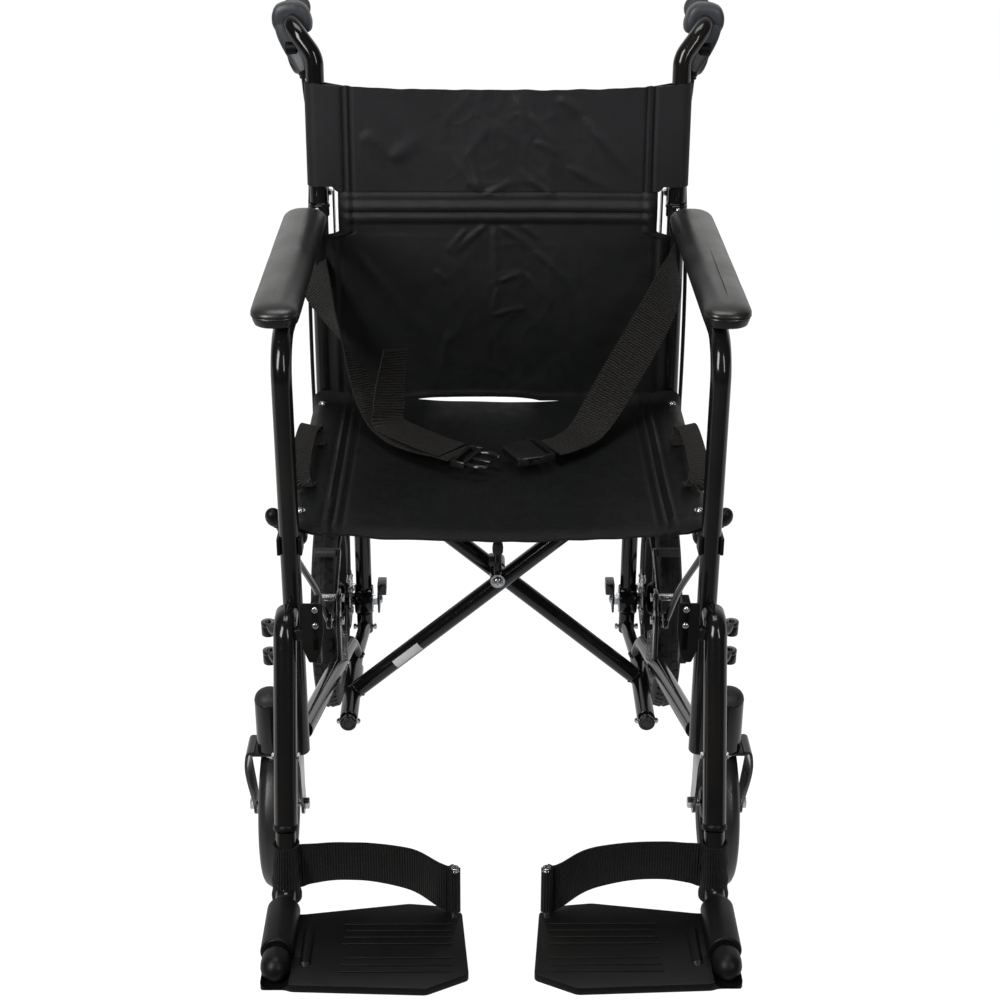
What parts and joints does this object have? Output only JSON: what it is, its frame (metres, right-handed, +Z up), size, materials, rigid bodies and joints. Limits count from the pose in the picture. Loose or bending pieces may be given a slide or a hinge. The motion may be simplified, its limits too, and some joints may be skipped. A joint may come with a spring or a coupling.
{
  "type": "transport wheelchair",
  "caption": "Folding attendant-pushed wheelchair with small wheels, padded arms, sling seat and back, hand brakes and swing-away footrests.",
  "frame": {"origin": "on the floor, under the centre of the chair's box", "axes": "+Z up, the chair faces -Y, +X is the occupant's left"},
  "size_m": [0.5984, 0.914, 0.9675],
  "materials": {
    "gloss_black_paint": "gloss black powder paint",
    "satin_black_plastic": "satin moulded plastic",
    "black_vinyl": "semi-gloss vinyl",
    "black_rubber": "matte rubber",
    "grey_tyre": "satin solid tyre",
    "black_nylon": "woven nylon",
    "black_webbing": "woven webbing",
    "zinc_steel": "bright zinc plate"
  },
  "bodies": {
    "frame_right": {"arm_frame_right": "gloss_black_paint", "rear_post_right": "gloss_black_paint", "side_rail_right": "gloss_black_paint", "back_hinge_right": "satin_black_plastic", "arm_pad_right": "black_vinyl", "caster_housing_right": "satin_black_plastic", "rear_axle_right": "zinc_steel", "brake_plate_right": "satin_black_plastic", "brake_cable_right": "black_rubber", "belt_right": "black_webbing", "back_lower": "black_nylon"},
    "frame_left": {"arm_frame_left": "gloss_black_paint", "rear_post_left": "gloss_black_paint", "side_rail_left": "gloss_black_paint", "back_hinge_left": "satin_black_plastic", "arm_pad_left": "black_vinyl", "caster_housing_left": "satin_black_plastic", "rear_axle_left": "zinc_steel", "brake_plate_left": "satin_black_plastic", "brake_cable_left": "black_rubber", "belt_left": "black_webbing"},
    "brace_front": {"cross_tube_front": "gloss_black_paint", "cross_bolt": "zinc_steel", "seat_sling": "black_nylon", "seat_rail_left": "gloss_black_paint"},
    "brace_rear": {"cross_tube_rear": "gloss_black_paint", "seat_rail_right": "gloss_black_paint"},
    "back_right": {"push_cane_right": "gloss_black_paint", "handle_grip_right": "black_rubber", "back_upper": "black_nylon"},
    "brake_lever_right": {"brake_lever_right": "satin_black_plastic"},
    "brake_arm_right": {"brake_arm_right": "zinc_steel"},
    "caster_right": {"caster_fork_right": "gloss_black_paint"},
    "caster_wheel_right": {"caster_wheel_right": "satin_black_plastic", "caster_tyre_right": "grey_tyre"},
    "rear_wheel_right": {"rear_wheel_right": "satin_black_plastic", "rear_tyre_right": "black_rubber"},
    "hanger_right": {"hanger_tube_right": "gloss_black_paint", "footrest_tube_right": "satin_black_plastic", "heel_loop_right": "black_webbing"},
    "hanger_latch_right": {"hanger_latch_right": "satin_black_plastic"},
    "footplate_right": {"footplate_right": "satin_black_plastic"},
    "wheel_lock_right": {"wheel_lock_lever_right": "satin_black_plastic"},
    "wheel_lock_shoe_right": {"wheel_lock_shoe_right": "zinc_steel"},
    "back_left": {"push_cane_left": "gloss_black_paint", "handle_grip_left": "black_rubber"},
    "brake_lever_left": {"brake_lever_left": "satin_black_plastic"},
    "brake_arm_left": {"brake_arm_left": "zinc_steel"},
    "caster_left": {"caster_fork_left": "gloss_black_paint"},
    "caster_wheel_left": {"caster_wheel_left": "satin_black_plastic", "caster_tyre_left": "grey_tyre"},
    "rear_wheel_left": {"rear_wheel_left": "satin_black_plastic", "rear_tyre_left": "black_rubber"},
    "hanger_left": {"hanger_tube_left": "gloss_black_paint", "footrest_tube_left": "satin_black_plastic", "heel_loop_left": "black_webbing"},
    "hanger_latch_left": {"hanger_latch_left": "satin_black_plastic"},
    "footplate_left": {"footplate_left": "satin_black_plastic"},
    "wheel_lock_left": {"wheel_lock_lever_left": "satin_black_plastic"},
    "wheel_lock_shoe_left": {"wheel_lock_shoe_left": "zinc_steel"}
  },
  "joints": [
    {"name": "fold", "type": "hinge", "parent": "frame_right", "child": "brace_front", "pos_m": [-0.191, 0.102, 0.121], "axis": [0, -1, 0], "range_deg": [0, 31], "deforming": ["seat_sling", "back_upper", "back_lower", "belt_right", "belt_left", "heel_loop_right", "heel_loop_left"]},
    {"name": "cross_pivot", "type": "hinge", "parent": "brace_front", "child": "brace_rear", "pos_m": [0, 0.1185, 0.29435], "axis": [0, -1, 0], "range_deg": [-62, 0]},
    {"name": "frame_left_pivot", "type": "hinge", "parent": "brace_rear", "child": "frame_left", "pos_m": [0.191, 0.135, 0.121], "axis": [0, -1, 0], "range_deg": [0, 31]},
    {"name": "back_fold", "type": "hinge", "parent": "frame_right", "child": "back_right", "pos_m": [-0.2235, 0.28337, 0.745], "axis": [-1, 0, 0], "range_deg": [0, 150], "deforming": ["brake_cable_right", "brake_cable_left"]},
    {"name": "back_fold_left", "type": "hinge", "parent": "frame_left", "child": "back_left", "pos_m": [0.2235, 0.28337, 0.745], "axis": [-1, 0, 0], "range_deg": [0, 150]},
    {"name": "brake_lever_right", "type": "hinge", "parent": "back_right", "child": "brake_lever_right", "pos_m": [-0.253, 0.297, 0.921], "axis": [1, 0, 0], "range_deg": [0, 12], "stiffness_Nm_per_rad": 1.5, "springref_deg": -2.86},
    {"name": "brake_arm_right", "type": "hinge", "parent": "frame_right", "child": "brake_arm_right", "pos_m": [-0.2062, 0.285, 0.182], "axis": [-1, 0, 0], "range_deg": [0, 18]},
    {"name": "rear_wheel_right", "type": "hinge", "parent": "frame_right", "child": "rear_wheel_right", "pos_m": [-0.232, 0.305, 0.152], "axis": [1, 0, 0], "continuous": true},
    {"name": "caster_swivel_right", "type": "hinge", "parent": "frame_right", "child": "caster_right", "pos_m": [-0.264, -0.157, 0.2], "axis": [0, 0, 1], "continuous": true},
    {"name": "caster_wheel_right", "type": "hinge", "parent": "caster_right", "child": "caster_wheel_right", "pos_m": [-0.264, -0.117, 0.1], "axis": [1, 0, 0], "continuous": true},
    {"name": "hanger_swing_right", "type": "hinge", "parent": "frame_right", "child": "hanger_right", "pos_m": [-0.257, -0.182, 0.36], "axis": [0, 0, -1], "range_deg": [0, 110]},
    {"name": "hanger_latch_right", "type": "hinge", "parent": "hanger_right", "child": "hanger_latch_right", "pos_m": [-0.201, -0.208, 0.3925], "axis": [0, -1, 0], "range_deg": [0, 20], "stiffness_Nm_per_rad": 0.5, "springref_deg": -2.86},
    {"name": "footplate_flip_right", "type": "hinge", "parent": "hanger_right", "child": "footplate_right", "pos_m": [-0.2355, -0.38, 0.12], "axis": [0, -1, 0], "range_deg": [0, 90]},
    {"name": "wheel_lock_right", "type": "hinge", "parent": "frame_right", "child": "wheel_lock_right", "pos_m": [-0.214, 0.093, 0.235], "axis": [1, 0, 0], "range_deg": [0, 40]},
    {"name": "wheel_lock_shoe_right", "type": "hinge", "parent": "frame_right", "child": "wheel_lock_shoe_right", "pos_m": [-0.2095, 0.093, 0.235], "axis": [-1, 0, 0], "range_deg": [0, 3.9]},
    {"name": "brake_lever_left", "type": "hinge", "parent": "back_left", "child": "brake_lever_left", "pos_m": [0.253, 0.297, 0.921], "axis": [1, 0, 0], "range_deg": [0, 12], "stiffness_Nm_per_rad": 1.5, "springref_deg": -2.86},
    {"name": "brake_arm_left", "type": "hinge", "parent": "frame_left", "child": "brake_arm_left", "pos_m": [0.2062, 0.285, 0.182], "axis": [-1, 0, 0], "range_deg": [0, 18]},
    {"name": "rear_wheel_left", "type": "hinge", "parent": "frame_left", "child": "rear_wheel_left", "pos_m": [0.232, 0.305, 0.152], "axis": [1, 0, 0], "continuous": true},
    {"name": "caster_swivel_left", "type": "hinge", "parent": "frame_left", "child": "caster_left", "pos_m": [0.264, -0.157, 0.2], "axis": [0, 0, 1], "continuous": true},
    {"name": "caster_wheel_left", "type": "hinge", "parent": "caster_left", "child": "caster_wheel_left", "pos_m": [0.264, -0.117, 0.1], "axis": [1, 0, 0], "continuous": true},
    {"name": "hanger_swing_left", "type": "hinge", "parent": "frame_left", "child": "hanger_left", "pos_m": [0.257, -0.182, 0.36], "axis": [0, 0, 1], "range_deg": [0, 110]},
    {"name": "hanger_latch_left", "type": "hinge", "parent": "hanger_left", "child": "hanger_latch_left", "pos_m": [0.201, -0.208, 0.3925], "axis": [0, 1, 0], "range_deg": [0, 20], "stiffness_Nm_per_rad": 0.5, "springref_deg": -2.86},
    {"name": "footplate_flip_left", "type": "hinge", "parent": "hanger_left", "child": "footplate_left", "pos_m": [0.2355, -0.38, 0.12], "axis": [0, 1, 0], "range_deg": [0, 90]},
    {"name": "wheel_lock_left", "type": "hinge", "parent": "frame_left", "child": "wheel_lock_left", "pos_m": [0.214, 0.093, 0.235], "axis": [1, 0, 0], "range_deg": [0, 40]},
    {"name": "wheel_lock_shoe_left", "type": "hinge", "parent": "frame_left", "child": "wheel_lock_shoe_left", "pos_m": [0.2095, 0.093, 0.235], "axis": [-1, 0, 0], "range_deg": [0, 3.9]}
  ],
  "couplings": [
    {"joint": "cross_pivot", "follows": "fold", "ratio": -2},
    {"joint": "frame_left_pivot", "follows": "fold", "ratio": 1},
    {"joint": "back_fold_left", "follows": "back_fold", "ratio": 1},
    {"joint": "brake_arm_right", "follows": "brake_lever_right", "ratio": 1.5},
    {"joint": "footplate_flip_right", "follows": "fold", "ratio": 2.9032},
    {"joint": "wheel_lock_shoe_right", "follows": "wheel_lock_right", "ratio": 0.0975},
    {"joint": "brake_arm_left", "follows": "brake_lever_left", "ratio": 1.5},
    {"joint": "footplate_flip_left", "follows": "fold", "ratio": 2.9032},
    {"joint": "wheel_lock_shoe_left", "follows": "wheel_lock_left", "ratio": 0.0975}
  ]
}
